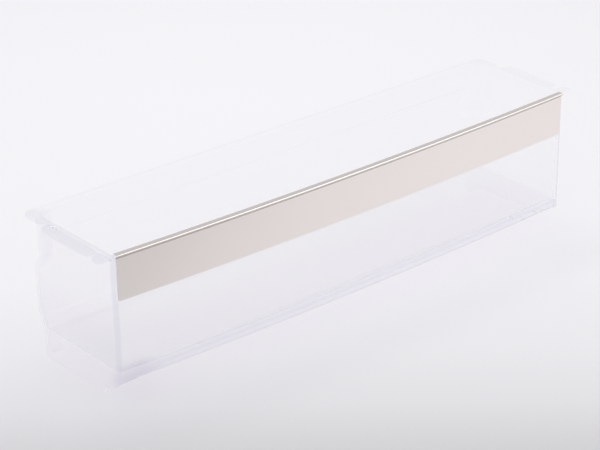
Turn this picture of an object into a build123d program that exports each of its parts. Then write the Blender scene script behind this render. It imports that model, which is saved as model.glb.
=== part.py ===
"""A clear fridge door shelf: one moulded tray and the metal strip folded over its front wall.

Lengths are in millimetres. While it is drawn, Y = 0 is the front wall's face at its two ends, +Y runs
to the rear, X = 0 is the middle of the length and Z = 0 is the surface that the shelf stands on. At the
end both pieces are moved along Y, so that the origin is under the middle of the shelf.
"""
import os
from math import asin, degrees, radians, sqrt, tan

from build123d import *

# Tray walls
front_length = 485.0  # across the end walls at the rim, along the front
depth = 110.5  # front face to rear face at the rim
height = 125.4  # top of the rim
wall = 2.3
end_taper = 1.0  # degrees, the end walls spread towards the rear
end_draft = 0.3  # degrees, the end walls lean out towards the rim
rear_draft = 0.3  # degrees, the rear wall leans out towards the rim
front_bow = 5.8  # how far the middle of the front wall stands forward of its ends
front_corner = 3.0
rear_corner = 5.0
inner_corner = 3.0

# Floor, skirt and feet
floor_height = 22.0  # underside of the floor
floor_thickness = 2.4
floor_round = 2.4  # inside, between the floor and the walls
haunch_start = 0.5  # the rear wall's step begins this far above the floor
haunch_top = 41.0
haunch_depth = 6.0
skirt_bottom = 17.0  # the front and rear walls end this high above the surface
toe_length = 34.0  # the feet sweep up to the front wall over this length
foot_return = 16.0  # the feet turn the rear corners and stop this far in from the ends

# Rim, hanging ears and hook pockets
rim_thickness = 2.5
rim_overhang = 1.4
rim_corner = 7.0
rim_front = 7.0  # the rim's bead starts this far behind the front face
rim_edge = 0.7  # rounding of the rim's upper edge
ear_reach = 11.5  # how far the hanging ears stand out from the end walls
ear_front = 16.5
ear_rear = 80.0
ear_round = 6.0
nose_reach = 12.5  # a short rounded ear at each front corner
nose_front = 0.5
nose_rear = 12.0
nose_round = 5.0
tab_reach = 5.2  # the tabs at the rear corners stand out less
tab_front = 88.0
tab_round = 2.5
pocket_width = 10.5  # along X
pocket_depth = 10.5  # along Y
pocket_bottom = 87.0
pocket_ramp = 11.0  # height of the sloping lower end
rear_rib_height = 99.0
rear_rib_size = 1.6
rear_rib_inset = 6.0  # the rib stops this far short of the pockets

# Strip over the front wall
strip_height = 39.4
strip_gauge = 0.6
strip_clearance = 0.1  # between the strip and the wall
strip_inset = 3.0  # the strip's ends stop this far inside the end walls' faces
strip_corner = 2.0
strip_rise = 1.4  # the rolled top stands this far above the rim
bead_proud = 2.0  # the rolled top stands forward of the strip's face
bead_drop = 0.3  # straight stretch between the roll and its crease
crown_width = 3.9  # flat along the middle of the roll
crease_angle = 45.0  # degrees, slope of the crease under the roll
lip_length = 9.0  # the back lip reaches this far below the top of the wall
lip_inset = 8.0  # the back lip stops short of the inside corners

# Worked out from the sizes above
margin = 30.0  # how far cutting blocks reach past the tray
steep = 0.8  # an upright edge climbs at least this share of its length
half_length = front_length / 2
floor_top = floor_height + floor_thickness
bow_radius = (half_length**2 + front_bow**2) / (2 * front_bow)
bow_centre = bow_radius - front_bow
rear_at_haunch = depth - (height - haunch_top) * tan(radians(rear_draft))
foot_rear = rear_at_haunch - haunch_depth
bead_radius = (wall + 2 * strip_clearance + 2 * strip_gauge + bead_proud - crown_width) / 2
strip_top = height + strip_rise
strip_foot = strip_top - strip_height
roll_height = strip_top - bead_radius
front_reach = front_bow + strip_clearance + strip_gauge + bead_proud
rear_reach = depth + rim_overhang


def end_x(y):
    """Distance of an end wall's face from the middle of the length, at the rim."""
    return half_length + y * tan(radians(end_taper))


def end_plane(side, inset):
    """Plane of an end wall's outer face, moved in by inset; it faces outwards."""
    normal = Vector(side, -tan(radians(end_taper)), -tan(radians(end_draft))).normalized()
    return Plane(origin=Vector(side * half_length, 0, height) - normal * inset, z_dir=normal)


def between_ends(solid, inset):
    """What lies between the two end faces moved in by inset."""
    for side in (-1, 1):
        solid = split(solid, bisect_by=end_plane(side, inset), keep=Keep.BOTTOM)
    return solid


def beyond_end(solid, side, inset):
    """What lies outside one end face moved in by inset."""
    return split(solid, bisect_by=end_plane(side, inset), keep=Keep.TOP)


def behind_front(inset, bottom, top):
    """Block behind the bowed front face moved in by inset."""
    reach = half_length + margin
    side_y = bow_centre - sqrt((bow_radius - inset) ** 2 - reach**2)
    back_y = depth + margin
    front = ThreePointArc((-reach, side_y), (0, inset - front_bow), (reach, side_y))
    back = Polyline((reach, side_y), (reach, back_y), (-reach, back_y), (-reach, side_y))
    return extrude(Pos(0, 0, bottom) * make_face([front, back]), top - bottom)


def along_length(outline):
    """Block of an outline drawn in Y and Z, carried along the whole length."""
    reach = half_length + margin
    return extrude(Plane.YZ.offset(-reach) * make_face(outline), 2 * reach)


def rear_outline(inset, bottom, top):
    """Rear face moved in by inset, from bottom to top: foot, step and leaning wall."""
    lean = tan(radians(rear_draft))
    step_foot = (foot_rear - inset, floor_top + haunch_start)
    step_head = (rear_at_haunch - inset, haunch_top)
    wall_head = (depth - inset + (top - height) * lean, top)
    foot = Line((foot_rear - inset, bottom), step_foot)
    step_middle = ((step_foot[0] + step_head[0]) / 2, (step_foot[1] + step_head[1]) / 2)
    hollow_bend = TangentArc(step_foot, step_middle, tangent=(0, 1))
    round_bend = TangentArc(step_middle, step_head, tangent=hollow_bend % 1)
    leaning_wall = Line(step_head, wall_head)
    return [foot, hollow_bend, round_bend, leaning_wall], wall_head


def outer_block():
    """The tray's outside, filled: bowed front, stepped rear, drafted ends, swept toes."""
    rear, head = rear_outline(0, 0, height)
    sole = Line((toe_length, 0), (foot_rear, 0))
    toe = TangentArc((toe_length, 0), (0, skirt_bottom), tangent=(-1, 0))
    front = Polyline((0, skirt_bottom), (-margin, skirt_bottom), (-margin, height), head)
    block = behind_front(0, 0, height) & along_length([*rear, sole, toe, front])
    return round_corners(between_ends(block, 0), front_corner, rear_corner)


def inner_block():
    """The tray's inside, with its floor and corners rounded."""
    top = height + margin
    rear, head = rear_outline(wall, floor_top, top)
    front = Polyline((foot_rear - wall, floor_top), (-margin, floor_top), (-margin, top), head)
    block = behind_front(wall, floor_top, top) & along_length([*rear, front])
    block = round_corners(between_ends(block, wall), inner_corner, inner_corner)
    return fillet(block.faces().sort_by(Axis.Z)[0].edges(), floor_round)


def upright_edges(block, front_side):
    """Edges that climb steeply near the two ends, at the front or at the rear."""
    found = []
    for edge in block.edges():
        middle = edge.center()
        climb = abs(edge.position_at(1).Z - edge.position_at(0).Z)
        at_end = abs(middle.X) > half_length - margin
        if climb > steep * edge.length and at_end and (middle.Y < depth / 2) == front_side:
            found.append(edge)
    return found


def round_corners(block, front_radius, rear_radius):
    """Rounds the upright edges where the end faces meet the front and rear faces."""
    block = fillet(upright_edges(block, front_side=True), front_radius)
    return fillet(upright_edges(block, front_side=False), rear_radius)


def end_flange(side, reach, front, rear):
    """Outline of a flange that stands out from an end wall between two places along the depth."""
    corners = (
        (side * (end_x(front) - wall), front),
        (side * (end_x(front) + reach), front),
        (side * (end_x(rear) + reach), rear),
        (side * (end_x(rear) - wall), rear),
    )
    return make_face(Polyline(*corners, close=True))


def outer_corners(plan):
    """A flange outline's two corners away from the tray, the front one first."""
    return plan.vertices().sort_by(lambda vertex: abs(vertex.X) - end_x(vertex.Y))[-2:].sort_by(Axis.Y)


def rim_plate():
    """Rim along the end and rear walls with the ears and tabs of both ends, filled in the middle."""
    front, rear = end_x(rim_front) + rim_overhang, end_x(rear_reach) + rim_overhang
    outline = ((front, rim_front), (rear, rear_reach), (-rear, rear_reach), (-front, rim_front))
    plan = make_face(Polyline(*outline, close=True))
    plan = fillet(plan.vertices().sort_by(Axis.Y)[2:], rim_corner)
    for side in (-1, 1):
        ear = end_flange(side, ear_reach, ear_front, ear_rear)
        plan += fillet(outer_corners(ear), ear_round)
        nose = end_flange(side, nose_reach, nose_front, nose_rear)
        plan += fillet(outer_corners(nose), nose_round)
        tab = end_flange(side, tab_reach, tab_front, rear_reach)
        tab = fillet(outer_corners(tab)[1], rim_corner)
        plan += fillet(outer_corners(tab)[0], tab_round)
    plate = extrude(Pos(0, 0, height) * plan, -rim_thickness)
    return fillet(plate.faces().sort_by(Axis.Z)[-1].edges(), rim_edge)


def pocket(side, grow, top):
    """Hook pocket under the rim at a rear corner, with a sloping lower end, grown by a wall if asked."""
    near_x = end_x(depth) - pocket_width - grow
    near_y = depth - pocket_depth - grow
    plan = Pos(side * (near_x + margin / 2), near_y + margin / 2) * Rectangle(margin, margin)
    upper = Pos(0, 0, pocket_bottom - grow) * plan
    lower = Pos(side * pocket_width, pocket_depth, pocket_bottom - pocket_ramp - grow) * plan
    return extrude(upper, top - pocket_bottom + grow) + loft([upper.face(), lower.face()])


def rear_rib():
    """Half-round stiffening rib along the outside of the rear wall."""
    rib_y = depth - (height - rear_rib_height) * tan(radians(rear_draft))
    reach = end_x(depth) - pocket_width - rear_rib_inset
    section = Plane.YZ.offset(-reach) * Pos(rib_y, rear_rib_height) * Circle(rear_rib_size)
    return extrude(section, 2 * reach)


def foot_space():
    """Space under the floor: the hollow inside the skirt and feet, and the way through between the feet."""
    rear_face = foot_rear - wall
    low, high = (-margin, -margin), (rear_face, floor_height)
    outline = Polyline(low, (high[0], low[1]), high, (low[0], high[1]), close=True)
    hollow = between_ends(behind_front(wall, -margin, floor_height) & along_length(outline), wall)
    hollow = fillet(upright_edges(hollow, front_side=False), inner_corner)
    return hollow + between_ends(behind_front(-margin, -margin, skirt_bottom), foot_return)


def make_tray():
    """The clear moulding."""
    outside = outer_block()
    tray = outside + rim_plate() + rear_rib() - inner_block()
    for side in (-1, 1):
        tray += pocket(side, wall, height) & outside
        tray -= pocket(side, 0, height - rim_thickness)
    return tray - foot_space()


def strip_section():
    """Section of the strip at the middle of the length: face, crease, rolled top and back lip."""
    face_in = -front_bow - strip_clearance
    face_out = face_in - strip_gauge
    bead_in = face_in - bead_proud
    bead_out = face_out - bead_proud
    lip_in = wall + strip_clearance - front_bow
    lip_out = lip_in + strip_gauge
    roll_front = bead_out + bead_radius
    roll_rear = lip_out - bead_radius
    roll_inside = bead_radius - strip_gauge
    lip_foot = height - lip_length
    crease_rise = bead_proud / tan(radians(crease_angle))
    crease_in = roll_height - bead_drop - crease_rise
    crease_out = crease_in - strip_gauge * tan(radians(crease_angle / 2))
    outline = [
        Polyline(
            (face_in, strip_foot),
            (face_out, strip_foot),
            (face_out, crease_out),
            (bead_out, crease_out + crease_rise),
            (bead_out, roll_height),
        ),
        CenterArc((roll_front, roll_height), bead_radius, 180, -90),
        Line((roll_front, strip_top), (roll_rear, strip_top)),
        CenterArc((roll_rear, roll_height), bead_radius, 90, -90),
        Polyline((lip_out, roll_height), (lip_out, lip_foot), (lip_in, lip_foot), (lip_in, roll_height)),
        CenterArc((roll_rear, roll_height), roll_inside, 0, 90),
        Line((roll_rear, strip_top - strip_gauge), (roll_front, strip_top - strip_gauge)),
        CenterArc((roll_front, roll_height), roll_inside, 90, 90),
        Polyline(
            (bead_in, roll_height),
            (bead_in, crease_in + crease_rise),
            (face_in, crease_in),
            (face_in, strip_foot),
        ),
    ]
    return Plane.YZ * make_face(outline)


def make_strip():
    """The strip: its section swept along the bow, with rounded lower corners and a shorter back lip."""
    swing = degrees(asin((half_length - strip_inset) / bow_radius))
    bow_axis = Axis((0, bow_centre, 0), (0, 0, 1))
    strip = revolve(strip_section().rotate(bow_axis, -swing), bow_axis, 2 * swing)
    foot_corners = [
        edge
        for edge in strip.edges()
        if edge.length < 2 * strip_gauge and edge.center().Z < strip_foot + strip_gauge
    ]
    strip = fillet(foot_corners, strip_corner)
    lip_zone = behind_front(wall / 2, strip_foot, roll_height)
    for side in (-1, 1):
        strip -= beyond_end(lip_zone, side, lip_inset)
    return strip


os.makedirs("parts", exist_ok=True)
to_middle = Pos(0, (front_reach - rear_reach) / 2, 0)
export_step(to_middle * make_tray(), "parts/tray.step")
export_step(to_middle * make_strip(), "parts/trim_strip.step")
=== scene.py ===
# %% [markdown]
# # A clear shelf from a fridge door
#
# The shelf is one clear moulded tray with a satin metal strip folded over the top of its front wall.
# The measured solids come first, as a fixed frame. This lesson then gives them their looks: the tray's
# plastic, the strip's rolled edge and brushed face, and a pale studio with the camera in its place.
# Everything is in metres, in the frame of the solids: X runs along the shelf, Y to its rear and Z up.

# %% Load the measured solids
import math

import bmesh
import bpy
from mathutils import Matrix, Vector


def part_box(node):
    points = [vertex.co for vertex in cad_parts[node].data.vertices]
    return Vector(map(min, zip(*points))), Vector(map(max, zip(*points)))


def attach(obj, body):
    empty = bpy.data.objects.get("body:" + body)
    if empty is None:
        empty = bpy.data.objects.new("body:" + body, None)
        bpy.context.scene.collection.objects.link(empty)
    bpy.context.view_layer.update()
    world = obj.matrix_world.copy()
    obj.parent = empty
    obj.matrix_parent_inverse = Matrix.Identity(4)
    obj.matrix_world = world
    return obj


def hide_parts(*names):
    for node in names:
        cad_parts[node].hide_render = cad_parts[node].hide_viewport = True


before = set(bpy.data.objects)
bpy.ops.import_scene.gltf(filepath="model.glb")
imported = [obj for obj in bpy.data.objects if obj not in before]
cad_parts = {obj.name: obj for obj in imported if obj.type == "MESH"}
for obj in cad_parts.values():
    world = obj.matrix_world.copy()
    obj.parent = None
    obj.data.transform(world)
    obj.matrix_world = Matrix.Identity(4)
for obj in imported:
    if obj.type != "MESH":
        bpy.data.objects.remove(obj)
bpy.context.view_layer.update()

MM = 0.001

# %% [markdown]
# ## The tray's mesh
#
# The tray is a thin-walled moulding, so its shape is already whole in the solid. Two things are added for
# looks. The solid arrives as loose triangles, so a copy is merged, and its shading is made smooth wherever
# two faces meet at a shallow angle: light then runs unbroken over the bowed front and the rounded corners.
# Re-modelling the walls by hand would only lose the measured shape.

# %% Merge a copy of the tray and smooth its round faces
MERGE_DISTANCE = 0.002 * MM
SMOOTH_BELOW = math.radians(28)


def merged_copy(node, name):
    """A copy of a solid's mesh with its triangles joined and its shallow edges smoothed."""
    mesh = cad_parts[node].data.copy()
    mesh.name = name
    for stored in ("custom_normal", "sharp_face", "sharp_edge"):
        if stored in mesh.attributes:
            mesh.attributes.remove(mesh.attributes[stored])
    work = bmesh.new()
    work.from_mesh(mesh)
    bmesh.ops.remove_doubles(work, verts=work.verts, dist=MERGE_DISTANCE)
    work.to_mesh(mesh)
    work.free()
    mesh.shade_smooth()
    mesh.set_sharp_from_angle(angle=SMOOTH_BELOW)
    mesh.materials.clear()
    piece = bpy.data.objects.new(name, mesh)
    bpy.context.scene.collection.objects.link(piece)
    return piece


tray = merged_copy("tray", "clear_tray")
print("tray mesh:", len(tray.data.vertices), "points,", len(tray.data.polygons), "triangles")

# %% [markdown]
# ## The strip's section
#
# The strip is one length of thin sheet. Its face lies against the front wall, a small crease pushes its top
# forward into a proud bead, the fold runs flat over the wall between two quarter rolls, and a short lip hangs
# inside. The section could be copied from the solid's triangles, but drawing it from a few sizes keeps the
# bends truly round. It is a flat outline: X is the distance out from the wall's face and Y is the height.

# %% Draw the strip's section
tray_low, tray_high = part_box("tray")
strip_low, strip_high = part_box("trim_strip")
WALL = 2.3 * MM
SHEET = 0.6 * MM
GAP = 0.1 * MM
BEAD_PROUD = 2.0 * MM
BEAD_DROP = 0.3 * MM
CREASE_ANGLE = math.radians(45)
CROWN_WIDTH = 3.9 * MM
LIP_LENGTH = 9.0 * MM
EDGE_SOFTNESS = 0.15 * MM
BEND_STEPS = 14

rim_top = tray_high.z
strip_top = strip_high.z
strip_foot = strip_low.z
roll_radius = (WALL + 2 * GAP + 2 * SHEET + BEAD_PROUD - CROWN_WIDTH) / 2
roll_height = strip_top - roll_radius


def bend(centre_out, centre_up, radius, start, turn):
    """Points of a round bend; angles are in degrees, from the outward direction."""
    points = []
    for step in range(BEND_STEPS + 1):
        angle = math.radians(start + turn * step / BEND_STEPS)
        points.append((centre_out + radius * math.cos(angle), centre_up + radius * math.sin(angle)))
    return points


face_in, face_out = GAP, GAP + SHEET
bead_in, bead_out = face_in + BEAD_PROUD, face_out + BEAD_PROUD
lip_near, lip_far = -WALL - GAP, -WALL - GAP - SHEET
roll_front, roll_rear = bead_out - roll_radius, lip_far + roll_radius
lip_foot = rim_top - LIP_LENGTH
crease_in = roll_height - BEAD_DROP - BEAD_PROUD
crease_out = crease_in - SHEET * math.tan(CREASE_ANGLE / 2)
strip_section = [
    (face_in, strip_foot),
    (face_out - EDGE_SOFTNESS, strip_foot),
    (face_out, strip_foot + EDGE_SOFTNESS),
    (face_out, crease_out),
    (bead_out, crease_out + BEAD_PROUD),
    *bend(roll_front, roll_height, roll_radius, 0, 90),
    *bend(roll_rear, roll_height, roll_radius, 90, 90),
    (lip_far, lip_foot),
    (lip_near, lip_foot),
    *bend(roll_rear, roll_height, roll_radius - SHEET, 180, -90),
    *bend(roll_front, roll_height, roll_radius - SHEET, 90, -90),
    (bead_in, crease_in + BEAD_PROUD),
    (face_in, crease_in),
]
print("strip section:", len(strip_section), "points, roll radius", round(roll_radius / MM, 2), "mm")

# %% [markdown]
# ## Sweeping the strip
#
# The front wall bows gently, so the strip follows an arc of a very large circle. The sweep is a small tree
# of Geometry Nodes: an arc, the section carried along it, and two rules that move points. The first rule
# lifts the foot near each end along a quarter circle, which rounds the lower corners. The second folds
# the lip away near the ends, where the tray's inside corners are. A loop of extrudes would do the same,
# but here each size stays a named input that can be changed later.

# %% Work out the bow's arc
BOW_RISE = 5.8 * MM
FRONT_LENGTH = 485.0 * MM
bow_radius = ((FRONT_LENGTH / 2) ** 2 + BOW_RISE**2) / (2 * BOW_RISE)
strip_reach = strip_high.x
front_middle = strip_low.y + bead_out
bow_centre = front_middle + bow_radius
half_angle = math.asin(strip_reach / (bow_radius + bead_out))
print("bow radius", round(bow_radius, 3), "m, half angle", round(math.degrees(half_angle), 2), "degrees")

# %% Helpers for node trees


def add_node(tree, kind, inputs=None, **settings):
    """A node with its settings and its plain input values; an input may be a socket to link from."""
    node = tree.nodes.new(kind)
    for name, value in settings.items():
        setattr(node, name, value)
    for name, value in (inputs or {}).items():
        socket = node.inputs[name]
        if isinstance(value, bpy.types.NodeSocket):
            tree.links.new(value, socket)
        else:
            socket.default_value = value
    return node


def maths(tree, operation, first, second=None, clamp=False):
    """The result of one sum on values or sockets."""
    inputs = {0: first} if second is None else {0: first, 1: second}
    return add_node(tree, "ShaderNodeMath", inputs, operation=operation, use_clamp=clamp).outputs[0]


# %% Build the sweep
CORNER_ROUND = 2.0 * MM
LIP_INSET = 8.0 * MM
LIP_SLOPE = 0.6 * MM
ARC_POINTS = 481

sweep = bpy.data.node_groups.new("Strip sweep", "GeometryNodeTree")
sweep.is_modifier = True
sweep.interface.new_socket("Section", in_out="INPUT", socket_type="NodeSocketGeometry")
sweep_sizes = {
    "Bow Radius": bow_radius,
    "Half Angle": half_angle,
    "Foot Height": strip_foot,
    "Roll Height": roll_height,
    "Corner Round": CORNER_ROUND,
    "Lip Inset": LIP_INSET,
}
sweep_sockets = {}
for size_name in sweep_sizes:
    sweep_sockets[size_name] = sweep.interface.new_socket(
        size_name, in_out="INPUT", socket_type="NodeSocketFloat"
    ).identifier
sweep_sockets["Finish"] = sweep.interface.new_socket(
    "Finish", in_out="INPUT", socket_type="NodeSocketMaterial"
).identifier
sweep.interface.new_socket("Strip", in_out="OUTPUT", socket_type="NodeSocketGeometry")

given = add_node(sweep, "NodeGroupInput").outputs
start_angle = maths(sweep, "SUBTRACT", -math.pi / 2, given["Half Angle"])
swing = maths(sweep, "MULTIPLY", given["Half Angle"], 2.0)
arc = add_node(
    sweep,
    "GeometryNodeCurveArc",
    {
        "Resolution": ARC_POINTS,
        "Radius": given["Bow Radius"],
        "Start Angle": start_angle,
        "Sweep Angle": swing,
    },
    mode="RADIUS",
)
level_arc = add_node(sweep, "GeometryNodeSetCurveNormal", {"Curve": arc.outputs["Curve"]}, mode="Z_UP")
swept = add_node(
    sweep,
    "GeometryNodeCurveToMesh",
    {"Curve": level_arc.outputs["Curve"], "Profile Curve": given["Section"], "Fill Caps": True},
)
print("arc of", ARC_POINTS, "points,", len(strip_section), "section points carried along it")

# %% Round the lower corners
place = add_node(sweep, "GeometryNodeInputPosition").outputs[0]
along, depth, up = add_node(sweep, "ShaderNodeSeparateXYZ", {0: place}).outputs
reach = maths(sweep, "MULTIPLY", maths(sweep, "SINE", given["Half Angle"]), given["Bow Radius"])
to_end = maths(sweep, "SUBTRACT", reach, maths(sweep, "ABSOLUTE", along))
past_round = maths(sweep, "MAXIMUM", maths(sweep, "SUBTRACT", given["Corner Round"], to_end), 0.0)
round_squared = maths(sweep, "POWER", given["Corner Round"], 2.0)
left_squared = maths(sweep, "SUBTRACT", round_squared, maths(sweep, "POWER", past_round, 2.0))
drop = maths(sweep, "SQRT", maths(sweep, "MAXIMUM", left_squared, 0.0))
round_centre = maths(sweep, "ADD", given["Foot Height"], given["Corner Round"])
rounded_up = maths(sweep, "MAXIMUM", up, maths(sweep, "SUBTRACT", round_centre, drop))
print("lower corners rounded by", round(CORNER_ROUND / MM, 1), "mm")

# %% Fold the lip away near the ends
in_plan = add_node(sweep, "ShaderNodeCombineXYZ", {"X": along, "Y": depth}).outputs[0]
from_centre = add_node(sweep, "ShaderNodeVectorMath", {0: in_plan}, operation="LENGTH").outputs["Value"]
out_from_arc = maths(sweep, "SUBTRACT", from_centre, given["Bow Radius"])
behind_wall = maths(sweep, "LESS_THAN", out_from_arc, -WALL / 2)
past_inset = maths(sweep, "SUBTRACT", given["Lip Inset"], to_end)
near_end = maths(sweep, "DIVIDE", past_inset, LIP_SLOPE, clamp=True)
under_roll = maths(sweep, "MAXIMUM", maths(sweep, "SUBTRACT", given["Roll Height"], up), 0.0)
lip_lift = maths(sweep, "MULTIPLY", under_roll, maths(sweep, "MULTIPLY", near_end, behind_wall))
new_up = maths(sweep, "ADD", rounded_up, lip_lift)
new_place = add_node(sweep, "ShaderNodeCombineXYZ", {"X": along, "Y": depth, "Z": new_up})
print("lip folded away over", round(LIP_INSET / MM, 1), "mm at each end")

# %% Put the strip in its place and give it its finish
trimmed = add_node(
    sweep,
    "GeometryNodeSetPosition",
    {"Geometry": swept.outputs["Mesh"], "Position": new_place.outputs[0]},
)
placed = add_node(
    sweep,
    "GeometryNodeTransform",
    {"Geometry": trimmed.outputs[0], "Translation": Vector((0, bow_centre, 0))},
)
real = add_node(sweep, "GeometryNodeRealizeInstances", {"Geometry": placed.outputs[0]})
finished = add_node(
    sweep,
    "GeometryNodeSetMaterial",
    {"Geometry": real.outputs[0], "Material": given["Finish"]},
)
sweep.links.new(finished.outputs[0], add_node(sweep, "NodeGroupOutput").inputs[0])
print("sweep tree:", len(sweep.nodes), "nodes")

# %% [markdown]
# ## Marks of handling
#
# Neither the plastic nor the metal is perfectly clean: both carry broad faint smudges and very fine wiping
# lines that change how sharply they shine. Because two finishes share the effect, it is one shader node
# group with its own inputs, placed in each material with its own values.

# %% Build the group for smudges and wiping lines
SMUDGE_DETAIL = 4.0
SMUDGE_BREAKUP = 0.55
LINE_DETAIL = 2.0
LINE_STRETCH = Vector((0.004, 1.0, 1.0))
MARKS_START = 0.12
MARKS_FULL = 0.42

marks = bpy.data.node_groups.new("Handling marks", "ShaderNodeTree")
for socket_name in ("Smudge Scale", "Line Scale", "Clean", "Worn"):
    marks.interface.new_socket(socket_name, in_out="INPUT", socket_type="NodeSocketFloat")
marks.interface.new_socket("Place", in_out="INPUT", socket_type="NodeSocketVector")
for socket_name in ("Roughness", "Height"):
    marks.interface.new_socket(socket_name, in_out="OUTPUT", socket_type="NodeSocketFloat")
marked = add_node(marks, "NodeGroupInput").outputs
smudge = add_node(
    marks,
    "ShaderNodeTexNoise",
    {
        "Vector": marked["Place"],
        "Scale": marked["Smudge Scale"],
        "Detail": SMUDGE_DETAIL,
        "Roughness": SMUDGE_BREAKUP,
    },
)
stretch = add_node(marks, "ShaderNodeMapping", {"Vector": marked["Place"], "Scale": LINE_STRETCH})
lines = add_node(
    marks,
    "ShaderNodeTexNoise",
    {"Vector": stretch.outputs[0], "Scale": marked["Line Scale"], "Detail": LINE_DETAIL},
)
blend = maths(marks, "MULTIPLY", smudge.outputs["Fac"], lines.outputs["Fac"])
spread = add_node(
    marks,
    "ShaderNodeMapRange",
    {
        "Value": blend,
        "From Min": MARKS_START,
        "From Max": MARKS_FULL,
        "To Min": marked["Clean"],
        "To Max": marked["Worn"],
    },
)
add_node(marks, "NodeGroupOutput", {"Roughness": spread.outputs[0], "Height": lines.outputs["Fac"]})
print("marks group:", len(marks.nodes), "nodes")

# %% [markdown]
# ## The clear plastic
#
# The tray is clear polystyrene with a faint lavender cast. Real polystyrene bends light strongly, but in an
# open pale studio that turns the long edges black, so this plastic bends it only a little. A weak absorption
# inside it gives the cast. Masks on Object coordinates also paint lavender shade into the surface's colour:
# at both front corners, in two rows along the lower front, and at the left end round its toe, over its lower
# part and along its rim. Light that passes straight through takes the same colour, so these places also cast
# painted shadow. A painted image would do the same, but a mask is easy to move when a size changes.

# %% Start the plastic and its masks


def new_material(name):
    """An empty material with its output and its Principled shader."""
    material = bpy.data.materials.new(name)
    material.use_nodes = True
    material.node_tree.nodes.clear()
    out = add_node(material.node_tree, "ShaderNodeOutputMaterial")
    shader = add_node(material.node_tree, "ShaderNodeBsdfPrincipled")
    material.node_tree.links.new(shader.outputs[0], out.inputs["Surface"])
    return material, material.node_tree, shader, out


def fade(value, near, far, most):
    """A mask that falls smoothly from its most at one value to nothing at another."""
    node = add_node(
        value.id_data,
        "ShaderNodeMapRange",
        {"Value": value, "From Min": near, "From Max": far, "To Min": most, "To Max": 0.0},
        interpolation_type="SMOOTHSTEP",
    )
    return node.outputs[0]


plastic, tree, shader, out = new_material("clear plastic")
place = add_node(tree, "ShaderNodeTexCoord").outputs["Object"]
along, depth, up = add_node(tree, "ShaderNodeSeparateXYZ", {0: place}).outputs
from_middle = maths(tree, "ABSOLUTE", along)
either_end = add_node(tree, "ShaderNodeCombineXYZ", {"X": from_middle, "Y": depth, "Z": up}).outputs[0]
from_rim = maths(tree, "SUBTRACT", rim_top, up)
print("masks start from the rim at", round(rim_top / MM, 1), "mm")


def length_of(vector):
    """The length of a vector socket."""
    return add_node(tree, "ShaderNodeVectorMath", {0: vector}, operation="LENGTH").outputs["Value"]


def away_from(centre, spread):
    """How far a point is from a centre at either end, counted in spreads."""
    moved = add_node(tree, "ShaderNodeVectorMath", {0: either_end, 1: centre}, operation="SUBTRACT")
    counted = add_node(tree, "ShaderNodeVectorMath", {0: moved.outputs[0], 1: spread}, operation="DIVIDE")
    return length_of(counted.outputs[0])


# %% Paint lavender shade at the front corners and along the lower front
CORNER_INSET = 1.0 * MM
CORNER_X = FRONT_LENGTH / 2 - CORNER_INSET
CORNER_Y = tray_low.y + BOW_RISE + CORNER_INSET
CORNER_BAND = 4.0 * MM
CORNER_SHADE = 0.8
FLOOR_UNDER = 22.0 * MM
SKIRT_UNDER = 17.0 * MM
ROW_HALF = 2.4 * MM
ROW_SHADE = 0.6


def shade_row(height):
    """A soft row of painted shade along the front at a height."""
    away = maths(tree, "ABSOLUTE", maths(tree, "SUBTRACT", up, height))
    at_front = fade(depth, CORNER_Y + ROW_HALF, CORNER_Y + 3 * ROW_HALF, 1.0)
    return maths(tree, "MULTIPLY", fade(away, ROW_HALF / 3, ROW_HALF, ROW_SHADE), at_front)


# Painted shade: the colour darkens to lavender round both front corners and in two rows along the lower
# front.
from_corner = add_node(
    tree,
    "ShaderNodeCombineXYZ",
    {"X": maths(tree, "SUBTRACT", from_middle, CORNER_X), "Y": maths(tree, "SUBTRACT", depth, CORNER_Y)},
).outputs[0]
painted_shade = fade(length_of(from_corner), CORNER_BAND / 3, CORNER_BAND, CORNER_SHADE)
for height in (FLOOR_UNDER, SKIRT_UNDER):
    painted_shade = maths(tree, "MAXIMUM", painted_shade, shade_row(height))
print("front corners", round(CORNER_X / MM, 1), "mm from the middle")

# %% Paint lavender shade at the left end
TOE_SPREAD = Vector((34.0, 20.0, 16.0)) * MM
TOE_CORE = 0.2
END_SHADE = 0.15
RIM_SHADE = 0.22

# Painted shade: only the left end is darkened, round its toe, over its lower part and along its rim.
toe = Vector((CORNER_X - TOE_SPREAD.x / 2, CORNER_Y, SKIRT_UNDER))
toe_shade = fade(away_from(toe, TOE_SPREAD), TOE_CORE, 1.0, 1.0)
from_low = maths(tree, "ABSOLUTE", maths(tree, "SUBTRACT", up, 2 * FLOOR_UNDER))
low_shade = fade(from_low, 0.0, 2 * FLOOR_UNDER, END_SHADE)
rim_shade = fade(from_rim, CORNER_BAND / 2, CORNER_BAND, RIM_SHADE)
on_end = maths(tree, "GREATER_THAN", from_middle, CORNER_X - CORNER_BAND)
end_shade = maths(tree, "MULTIPLY", maths(tree, "MAXIMUM", low_shade, rim_shade), on_end)
to_left = fade(along, 0.0, CORNER_X, 1.0)
left_shade = maths(tree, "MULTIPLY", to_left, maths(tree, "MAXIMUM", toe_shade, end_shade))
painted_shade = maths(tree, "MAXIMUM", painted_shade, left_shade)
print("toe of the left end at", [round(v / MM, 1) for v in toe], "mm from the middle")

# %% [markdown]
# ## The plastic's surface
#
# Very shallow ripples, as left by the mould, keep the wide walls from looking like optical glass, and a thin
# gloss gives them a shine that so low a bend can't give by itself.

# %% Build the plastic's surface
PLASTIC_MARKS = {"Smudge Scale": 11.0, "Line Scale": 500.0, "Clean": 0.02, "Worn": 0.07}
PLASTIC_BEND = 1.06
CLARITY = 0.98
GLOSS = 0.3
GLOSS_ROUGHNESS = 0.04
RIPPLE_SCALE = 9.0
RIPPLE_DETAIL = 1.0
RIPPLE_HEIGHT = 0.04 * MM
CLEAR = (0.9965, 0.9955, 0.9975, 1.0)
SHADE_LAVENDER = (0.845, 0.83, 0.895, 1.0)
CAST = (0.82, 0.81, 0.93, 1.0)
CAST_DENSITY = 10.0

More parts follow.
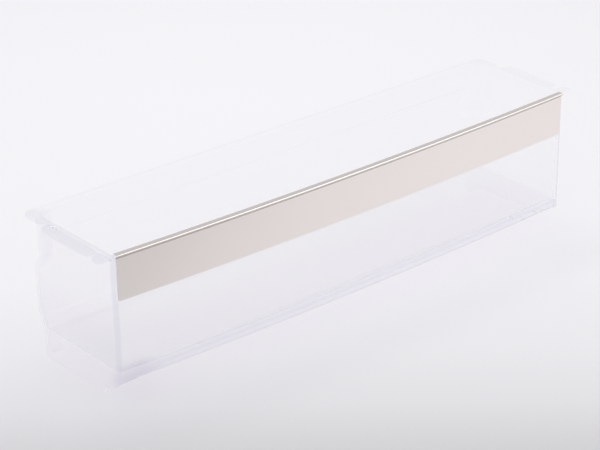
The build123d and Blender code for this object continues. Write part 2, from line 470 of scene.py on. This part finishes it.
worn = add_node(tree, "ShaderNodeGroup", {**PLASTIC_MARKS, "Place": place}, node_tree=marks)
ripple = add_node(
    tree, "ShaderNodeTexNoise", {"Vector": place, "Scale": RIPPLE_SCALE, "Detail": RIPPLE_DETAIL}
)
bump = add_node(
    tree,
    "ShaderNodeBump",
    {"Height": ripple.outputs["Fac"], "Strength": 1.0, "Distance": RIPPLE_HEIGHT},
)
# The surface colour mixes the painted lavender shade of the masks into the clear colour.
tint = add_node(tree, "ShaderNodeMix", {0: painted_shade, 6: CLEAR, 7: SHADE_LAVENDER}, data_type="RGBA").outputs[2]
tree.links.new(tint, shader.inputs["Base Color"])
shader.inputs["Transmission Weight"].default_value = CLARITY
shader.inputs["IOR"].default_value = PLASTIC_BEND
shader.inputs["Coat Weight"].default_value = GLOSS
shader.inputs["Coat Roughness"].default_value = GLOSS_ROUGHNESS
tree.links.new(worn.outputs["Roughness"], shader.inputs["Roughness"])
tree.links.new(bump.outputs[0], shader.inputs["Normal"])
cast = add_node(tree, "ShaderNodeVolumeAbsorption", {"Color": CAST, "Density": CAST_DENSITY})
tree.links.new(cast.outputs[0], out.inputs["Volume"])
tray.data.materials.append(plastic)
print("plastic's surface:", len(tree.nodes), "nodes")

# %% [markdown]
# ## Light straight through
#
# Light that is bent by many thin walls can end as dark specks. Shadows, light from matt surfaces and light
# that has met several walls therefore pass straight through. At the rim and in the hook pockets, where edges
# lie close together, light bends at the first surface only. The rule needs the Light Path node, so it stays
# in the material itself.

# %% Let light pass straight through where it has bent enough
DEEPEST_BEND = 4.5
EDGE_BENDS_LESS = 4.0
POCKET = Vector((236.0, 52.0, 83.0)) * MM
POCKET_SPREAD = Vector((17.0, 17.0, 13.0)) * MM

path = add_node(tree, "ShaderNodeLightPath").outputs
at_rim = maths(tree, "LESS_THAN", from_rim, CORNER_BAND)
at_pocket = maths(tree, "LESS_THAN", away_from(POCKET, POCKET_SPREAD), 1.0)
fewer = maths(tree, "MULTIPLY", maths(tree, "MAXIMUM", at_rim, at_pocket), EDGE_BENDS_LESS)
deep = maths(tree, "GREATER_THAN", maths(tree, "ADD", path["Ray Depth"], fewer), DEEPEST_BEND)
passing = maths(tree, "MAXIMUM", path["Is Shadow Ray"], path["Is Diffuse Ray"])
passing = maths(tree, "MAXIMUM", passing, deep)
# The straight light takes the same colour, so the painted shade also darkens the shadows cast through those
# places.
straight = add_node(tree, "ShaderNodeBsdfTransparent", {"Color": tint})
both = add_node(tree, "ShaderNodeMixShader", {0: passing, 1: shader.outputs[0], 2: straight.outputs[0]})
tree.links.new(both.outputs[0], out.inputs["Surface"])
print("plastic:", len(tree.nodes), "nodes")

# %% [markdown]
# ## The brushed strip
#
# The strip is satin sheet metal in a warm pale grey. Its grain runs along its length: noise that is
# stretched along X gives fine lines, which change the roughness and tilt the surface a very little. A band
# round the crease under the bead is painted darker: painted shade for the dark line under the bead.

# %% Build the strip's metal
GRAIN_DEPTH = 0.0015 * MM
BARE = (0.912, 0.854, 0.82, 1.0)
CREASE_SHADE_COLOUR = (0.56, 0.525, 0.50, 1.0)
CREASE_SHADE_CORE = 0.5 * BEAD_PROUD
CREASE_SHADE_EDGE = 0.8 * BEAD_PROUD
STRIP_MARKS = {"Smudge Scale": 9.0, "Line Scale": 2600.0, "Clean": 0.20, "Worn": 0.26}

metal, tree, shader, out = new_material("satin strip")
place = add_node(tree, "ShaderNodeTexCoord").outputs["Object"]
worn = add_node(tree, "ShaderNodeGroup", {**STRIP_MARKS, "Place": place}, node_tree=marks)
grain = add_node(tree, "ShaderNodeBump", {"Height": worn.outputs["Height"], "Distance": GRAIN_DEPTH})
up_strip = add_node(tree, "ShaderNodeSeparateXYZ", {0: place}).outputs["Z"]
# Painted shade: a band round the crease under the bead gets a darker colour.
from_crease = maths(tree, "ABSOLUTE", maths(tree, "SUBTRACT", up_strip, crease_out + BEAD_PROUD / 2))
painted_crease_shade = fade(from_crease, CREASE_SHADE_CORE, CREASE_SHADE_EDGE, 1.0)
shade = add_node(tree, "ShaderNodeMix", {0: painted_crease_shade, 6: BARE, 7: CREASE_SHADE_COLOUR}, data_type="RGBA")
tree.links.new(shade.outputs[2], shader.inputs["Base Color"])
shader.inputs["Metallic"].default_value = 1.0
tree.links.new(worn.outputs["Roughness"], shader.inputs["Roughness"])
tree.links.new(grain.outputs[0], shader.inputs["Normal"])
print("strip metal:", len(tree.nodes), "nodes")

# %% Sweep the section and keep the result as a plain mesh


def section_object(name, points):
    """A closed flat curve through the section's points; the sweep carries the curve's Y downwards."""
    curve = bpy.data.curves.new(name, "CURVE")
    curve.dimensions = "3D"
    spline = curve.splines.new("POLY")
    spline.points.add(len(points) - 1)
    for point, (out_from_wall, height) in zip(spline.points, points):
        point.co = (out_from_wall, -height, 0.0, 1.0)
    spline.use_cyclic_u = True
    holder = bpy.data.objects.new(name, curve)
    bpy.context.scene.collection.objects.link(holder)
    return holder


def plain_mesh(holder, name):
    """The evaluated result of an object's modifiers as a new plain mesh object; the holder is removed."""
    seen = holder.evaluated_get(bpy.context.evaluated_depsgraph_get())
    mesh = bpy.data.meshes.new_from_object(seen)
    mesh.name = name
    bpy.data.objects.remove(holder)
    piece = bpy.data.objects.new(name, mesh)
    bpy.context.scene.collection.objects.link(piece)
    return piece


holder = section_object("strip_section", strip_section)
modifier = holder.modifiers.new("Strip sweep", "NODES")
modifier.node_group = sweep
for size_name, value in sweep_sizes.items():
    modifier[sweep_sockets[size_name]] = value
modifier[sweep_sockets["Finish"]] = metal
strip = plain_mesh(holder, "satin_strip")
print("strip mesh:", len(strip.data.vertices), "points before its seam is joined")

# %% Join the strip's seam and measure it
work = bmesh.new()
work.from_mesh(strip.data)
bmesh.ops.remove_doubles(work, verts=work.verts, dist=MERGE_DISTANCE)
bmesh.ops.recalc_face_normals(work, faces=work.faces)
print("strip volume:", round(work.calc_volume() / MM**3), "cubic mm")
work.to_mesh(strip.data)
work.free()
strip.data.shade_smooth()
strip.data.set_sharp_from_angle(angle=SMOOTH_BELOW)
lows = [min(v.co[axis] for v in strip.data.vertices) / MM for axis in range(3)]
highs = [max(v.co[axis] for v in strip.data.vertices) / MM for axis in range(3)]
print("strip box in mm:", [round(v, 2) for v in lows], [round(v, 2) for v in highs])
print("solid box in mm:", [round(v / MM, 2) for v in strip_low], [round(v / MM, 2) for v in strip_high])

# %% Give both pieces to the frame
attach(tray, "root")
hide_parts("tray")
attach(strip, "root")
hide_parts("trim_strip")
print("pieces:", tray.name, "and", strip.name)

# %% [markdown]
# ## The studio
#
# The shelf stands on a seamless pale floor in soft light from all round, so its clear walls show mostly by
# their edges. The floor's colour holds painted shade: it grows greyer towards the front left, as a sheet does
# that is lit from the far side. The shade could come from lamps, but then it would change with every move of
# a light.

# %% Make the floor
FLOOR_REACH = 6.0
PAPER_ROUGHNESS = 0.9
PAPER_SHINE = 0.2
FALL_ALONG = Vector((0.638, 0.770, 0.0))
FALL_MIDDLE = 0.5
PAINTED_FLOOR_SHADE = ((-0.27, 0.69), (-0.20, 0.81), (-0.12, 0.875), (0.0, 0.92))
PAPER_TINT = (1.0, 0.992, 1.025)


def tone_ramp(tree, value, steps, tint):
    """A ramp over a value, with one stop for each pair of place and brightness."""
    ramp = add_node(tree, "ShaderNodeValToRGB", {"Fac": value})
    stops = ramp.color_ramp.elements
    while len(stops) < len(steps):
        stops.new(1.0)
    for stop, (at, brightness) in zip(stops, steps):
        stop.position = at
        stop.color = (*(brightness * share for share in tint), 1.0)
    return ramp.outputs[0]


floor_mesh = bpy.data.meshes.new("floor")
corners = [(-1, -1), (1, -1), (1, 1), (-1, 1)]
floor_mesh.from_pydata([(x * FLOOR_REACH, y * FLOOR_REACH, 0.0) for x, y in corners], [], [(0, 1, 2, 3)])
floor = bpy.data.objects.new("floor", floor_mesh)
bpy.context.scene.collection.objects.link(floor)
paper, tree, shader, out = new_material("pale paper")
place_on_floor = add_node(tree, "ShaderNodeTexCoord").outputs["Object"]
away = add_node(tree, "ShaderNodeVectorMath", {0: place_on_floor, 1: FALL_ALONG}, operation="DOT_PRODUCT")
on_ramp = maths(tree, "ADD", away.outputs["Value"], FALL_MIDDLE)
# Painted shade: the floor's colour darkens along the ramp towards the front left.
floor_shade_steps = [(FALL_MIDDLE + distance, pale) for distance, pale in PAINTED_FLOOR_SHADE]
tree.links.new(tone_ramp(tree, on_ramp, floor_shade_steps, PAPER_TINT), shader.inputs["Base Color"])
shader.inputs["Roughness"].default_value = PAPER_ROUGHNESS
shader.inputs["Specular IOR Level"].default_value = PAPER_SHINE
floor_mesh.materials.append(paper)
print("floor:", 2 * FLOOR_REACH, "m wide, with", len(PAINTED_FLOOR_SHADE), "tones")

# %% [markdown]
# ## The light
#
# The world gives plain soft light all round. Shiny surfaces see a little more in it, as they would in a real
# studio: the light is greyer overhead, which gives the strip's fold its grey top, and one bright card high to
# the front right draws the white line along its bead. One large weak lamp above the right rear gives the
# soft shadow its direction.

# %% Light it from all round
AROUND = (0.88, 0.88, 0.88, 1.0)
MIRRORED = ((0.0, 0.85), (0.2, 0.8), (0.32, 0.6), (1.0, 0.6))
SKY_TINT = (1.0, 1.0, 1.0)
CARD_TOWARDS = Vector((0.575, -0.560, 0.597))
CARD_EDGE = math.cos(math.radians(21))
CARD_CORE = math.cos(math.radians(12))
CARD_LIGHT = 1.7

world = bpy.data.worlds.new("studio")
bpy.context.scene.world = world
world.use_nodes = True
tree = world.node_tree
sky = tree.nodes["Background"]
direction = add_node(tree, "ShaderNodeTexCoord").outputs["Generated"]
climb = add_node(tree, "ShaderNodeSeparateXYZ", {0: direction}).outputs["Z"]
mirrored = add_node(tree, "ShaderNodeLightPath").outputs["Is Glossy Ray"]
at_card = add_node(tree, "ShaderNodeVectorMath", {0: direction, 1: CARD_TOWARDS}, operation="DOT_PRODUCT")
card = fade(at_card.outputs["Value"], CARD_CORE, CARD_EDGE, CARD_LIGHT)
with_card = add_node(
    tree,
    "ShaderNodeMix",
    data_type="RGBA",
    blend_type="ADD",
    inputs={0: 1.0, 6: tone_ramp(tree, climb, MIRRORED, SKY_TINT), 7: card},
)
seen = add_node(
    tree,
    "ShaderNodeMix",
    data_type="RGBA",
    inputs={0: mirrored, 6: AROUND, 7: with_card.outputs[2]},
)
tree.links.new(seen.outputs[2], sky.inputs["Color"])
print("world:", len(tree.nodes), "nodes")

# %% Hang the lamp
KEY_PLACE = Vector((0.17, 0.35, 1.15))
KEY_AIM = Vector((0.17, 0.35, 0.0))
KEY_WIDTH = 0.7
KEY_POWER = 1.8


def soft_lamp(name, place, aim, width, power):
    """A square area lamp at a place, turned to a point."""
    data = bpy.data.lights.new(name, "AREA")
    data.size = width
    data.energy = power
    lamp = bpy.data.objects.new(name, data)
    lamp.location = place
    lamp.rotation_euler = (aim - place).to_track_quat("-Z", "Y").to_euler()
    bpy.context.scene.collection.objects.link(lamp)
    return lamp


key = soft_lamp("key", KEY_PLACE, KEY_AIM, KEY_WIDTH, KEY_POWER)
key.visible_glossy = False
print("lamp:", KEY_WIDTH, "m wide,", KEY_POWER, "W")

# %% [markdown]
# ## The camera
#
# The view was found by fitting a camera to the strip's corners, the rim and the feet: a long lens that
# looks down from the front left, rolled by about a degree.

# %% Place the camera
VIEW_AROUND = math.radians(-39.65)
VIEW_ABOVE = math.radians(25.68)
VIEW_ROLL = math.radians(-0.96)
VIEW_DISTANCE = 1.70764
VIEW_TARGET = Vector((-0.00890, 0.01060, 0.05488))
SENSOR_WIDTH = 36.0
FOCAL_LENGTH = 121.2

lens = bpy.data.cameras.new("camera")
lens.sensor_width = SENSOR_WIDTH
lens.lens = FOCAL_LENGTH
camera = bpy.data.objects.new("camera", lens)
bpy.context.scene.collection.objects.link(camera)
back = Vector(
    (
        math.sin(VIEW_AROUND) * math.cos(VIEW_ABOVE),
        -math.cos(VIEW_AROUND) * math.cos(VIEW_ABOVE),
        math.sin(VIEW_ABOVE),
    )
)
right = Vector((math.cos(VIEW_AROUND), math.sin(VIEW_AROUND), 0.0))
level = Matrix((right, back.cross(right), back)).transposed()
camera.matrix_world = Matrix.Translation(VIEW_TARGET + back * VIEW_DISTANCE) @ (
    level @ Matrix.Rotation(VIEW_ROLL, 3, "Z")
).to_4x4()
bpy.context.scene.camera = camera
bpy.context.scene.view_settings.view_transform = "Standard"
print("camera at", [round(v, 3) for v in camera.matrix_world.translation], "m")
